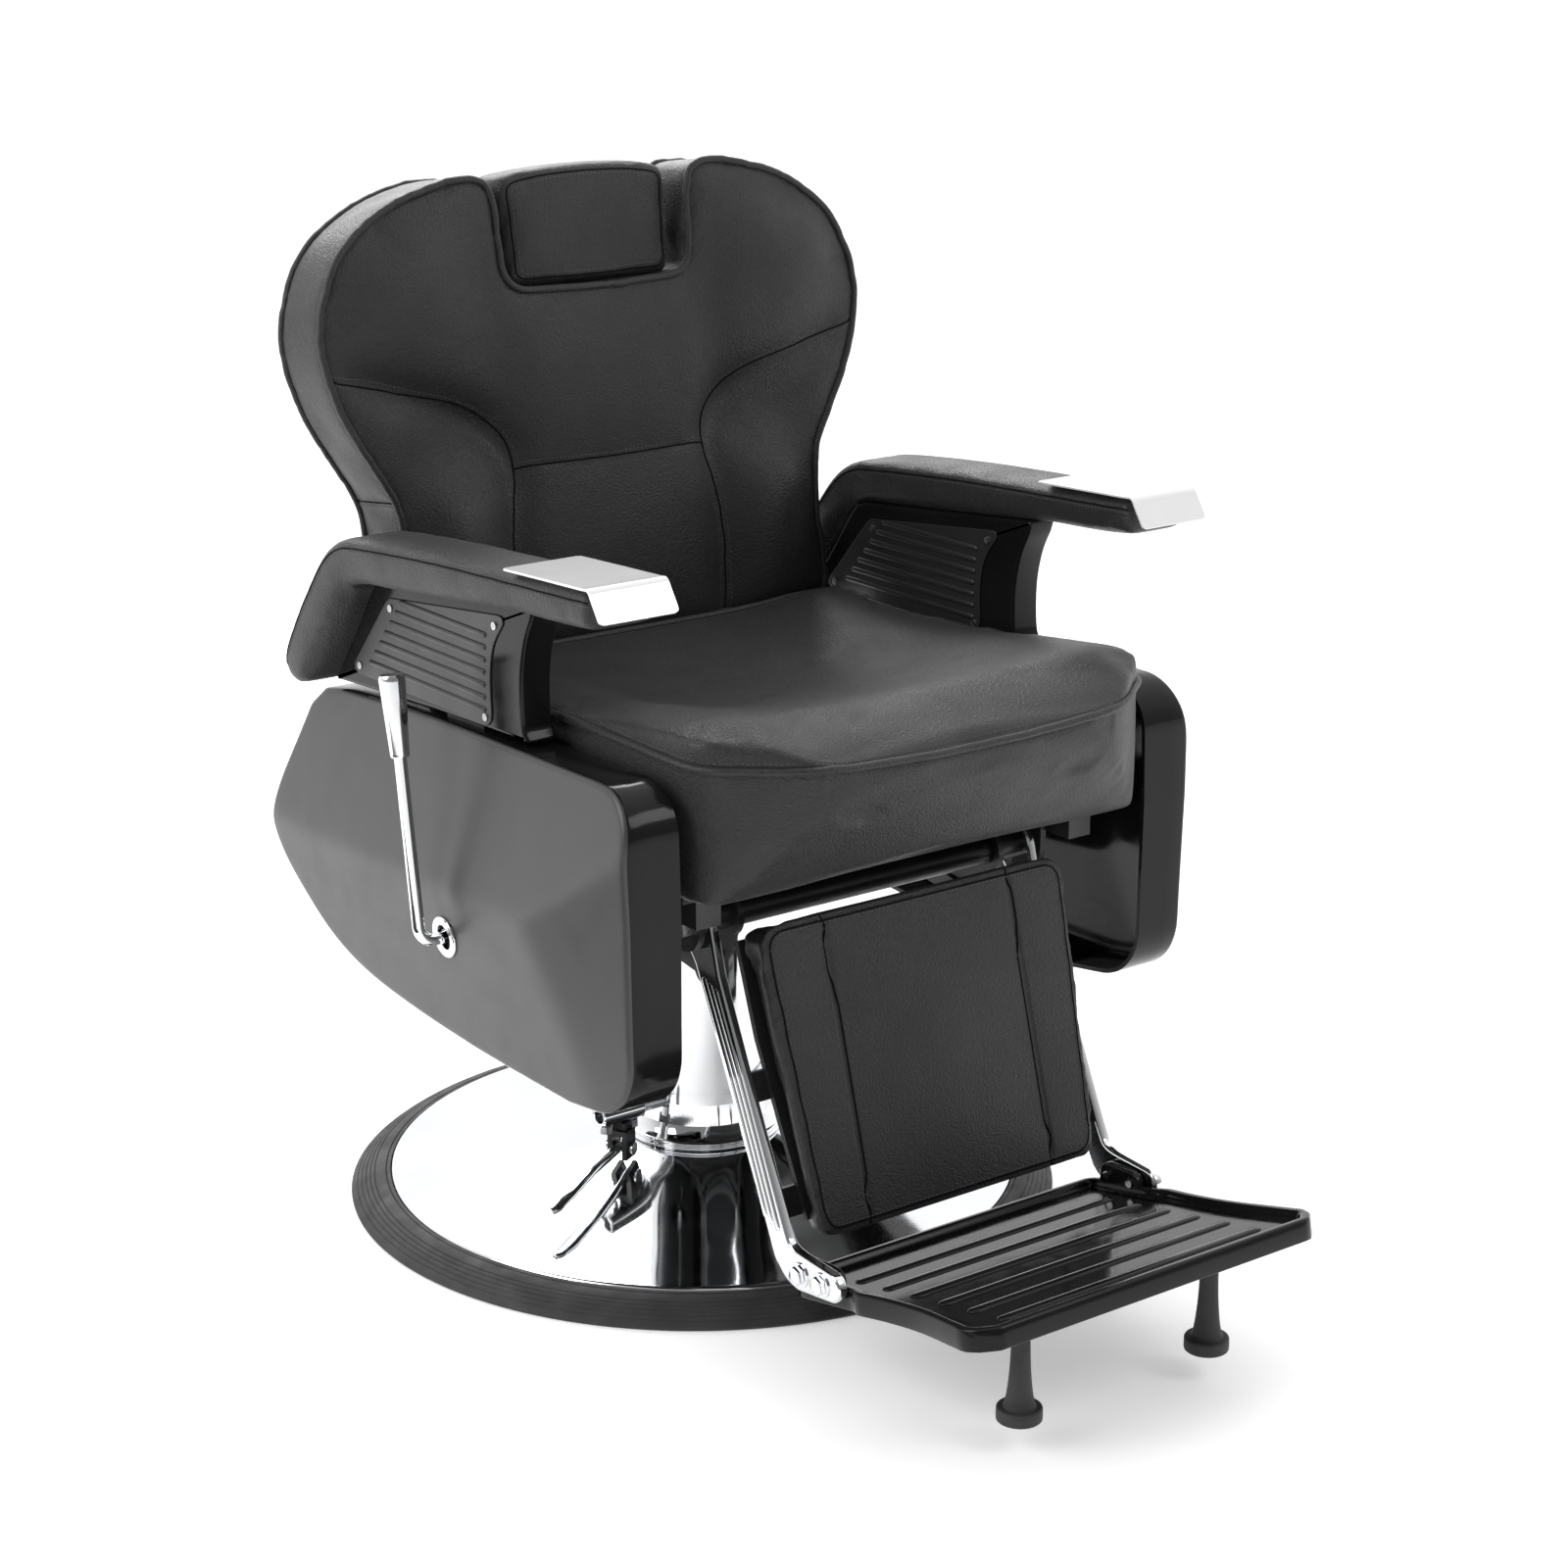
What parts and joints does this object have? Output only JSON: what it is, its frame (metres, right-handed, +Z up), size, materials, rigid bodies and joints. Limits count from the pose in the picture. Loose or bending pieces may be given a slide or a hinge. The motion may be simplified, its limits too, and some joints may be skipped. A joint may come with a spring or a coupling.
{
  "type": "hydraulic barber chair",
  "caption": "Barber chair with hydraulic lift and swivel, reclining back linked to a swinging footrest, sliding headrest, padded arms and round chrome base",
  "frame": {"origin": "on the swivel axis at the floor, at the middle of the base plate's underside", "axes": "+Z up along the swivel axis, -Y the way the chair faces, +X to the left hand of a person sitting in it"},
  "size_m": [0.6815, 0.9739, 0.9439],
  "materials": {
    "black_steel": "satin black paint on steel",
    "chrome": "polished chrome plate",
    "zinc": "bright plated steel",
    "brass": "plain bronze bush metal",
    "rubber": "matt black rubber",
    "leather": "black fine-grained leatherette, soft sheen",
    "panel_plastic": "satin black moulded plastic",
    "insert_plastic": "satin black ribbed plastic",
    "gloss_black": "gloss black moulded plastic",
    "plywood": "plain plywood"
  },
  "bodies": {
    "base": {"base_plate": "black_steel", "base_ring": "rubber", "base_dish": "chrome", "base_bolts": "zinc", "pump_body": "black_steel", "pump_seal": "rubber", "column_cover": "chrome"},
    "pedal": {"pump_shaft": "zinc", "pedal_tube": "chrome", "pedal_crank": "black_steel", "pedal_bolts": "zinc", "pedal_pin": "zinc"},
    "foot_bar": {"foot_bar": "chrome"},
    "lift": {"ram": "zinc", "thrust_washer": "brass"},
    "seat": {"swivel_head": "black_steel", "swivel_bolts": "zinc", "seat_rails": "black_steel", "seat_crossbars": "black_steel", "side_spacers": "black_steel", "side_plates": "black_steel", "seat_board": "plywood", "seat_cushion": "leather", "side_panel_left": "panel_plastic", "side_panel_right": "panel_plastic", "arm_posts": "black_steel", "arm_shell_left": "gloss_black", "arm_shell_right": "gloss_black", "arm_inserts": "insert_plastic", "insert_screws": "zinc", "arm_pad_left": "leather", "arm_pad_right": "leather", "arm_cap_left": "chrome", "arm_cap_right": "chrome", "footrest_brackets": "black_steel", "footrest_pivots": "zinc", "back_pivots": "zinc", "lock_barrel": "black_steel", "lever_bush": "brass", "lever_ring": "chrome"},
    "lock_rod": {"lock_rod": "zinc"},
    "lever": {"recline_lever": "chrome", "lever_knob": "chrome"},
    "back": {"back_frame": "black_steel", "back_cranks": "black_steel", "back_cushion": "leather", "back_board": "plywood", "back_rear_pad": "leather", "headrest_guides": "insert_plastic"},
    "headrest": {"headrest_posts": "chrome", "headrest_cushion": "leather"},
    "rods": {"connecting_rods": "zinc"},
    "footrest": {"footrest_bar_left": "chrome", "footrest_bar_right": "chrome", "footrest_tube": "black_steel", "calf_board": "plywood", "calf_pad": "leather", "footplate": "gloss_black", "footplate_bolts": "zinc", "footplate_feet": "rubber"}
  },
  "joints": [
    {"name": "pump_pedal", "type": "hinge", "parent": "base", "child": "pedal", "pos_m": [0, -0.018, 0.098], "axis": [1, 0, 0], "range_deg": [-20, 10], "stiffness_Nm_per_rad": 8},
    {"name": "foot_bar_fold", "type": "hinge", "parent": "pedal", "child": "foot_bar", "pos_m": [-0.105, -0.018, 0.062], "axis": [-0.4695, 0.8829, 0], "range_deg": [0, 25]},
    {"name": "height_lift", "type": "slide", "parent": "base", "child": "lift", "axis": [0, 0, 1], "range_m": [0, 0.16]},
    {"name": "seat_swivel", "type": "hinge", "parent": "lift", "child": "seat", "pos_m": [0, 0, 0], "axis": [0, 0, 1], "continuous": true},
    {"name": "back_recline", "type": "hinge", "parent": "seat", "child": "back", "pos_m": [0, 0.15, 0.4045], "axis": [-1, 0, 0], "range_deg": [0, 40]},
    {"name": "footrest_swing", "type": "hinge", "parent": "seat", "child": "footrest", "pos_m": [0, -0.245, 0.365], "axis": [-1, 0, 0], "range_deg": [0, 30]},
    {"name": "rod_turn", "type": "hinge", "parent": "back", "child": "rods", "pos_m": [0, 0.17099, 0.36469], "axis": [-1, 0, 0], "range_deg": [-40, 0]},
    {"name": "lock_slide", "type": "slide", "parent": "seat", "child": "lock_rod", "axis": [0, -1, 0], "range_m": [0, 0.0309]},
    {"name": "lever_pull", "type": "hinge", "parent": "seat", "child": "lever", "pos_m": [0, -0.057, 0.325], "axis": [-1, 0, 0], "range_deg": [0, 25], "stiffness_Nm_per_rad": 6},
    {"name": "headrest_slide", "type": "slide", "parent": "back", "child": "headrest", "axis": [0, 0.1305, 0.9914], "range_m": [0, 0.1]}
  ],
  "couplings": [
    {"joint": "footrest_swing", "follows": "back_recline", "ratio": 0.75},
    {"joint": "rod_turn", "follows": "back_recline", "ratio": -1},
    {"joint": "lock_slide", "follows": "back_recline", "m_per_rad": 0.044092}
  ]
}
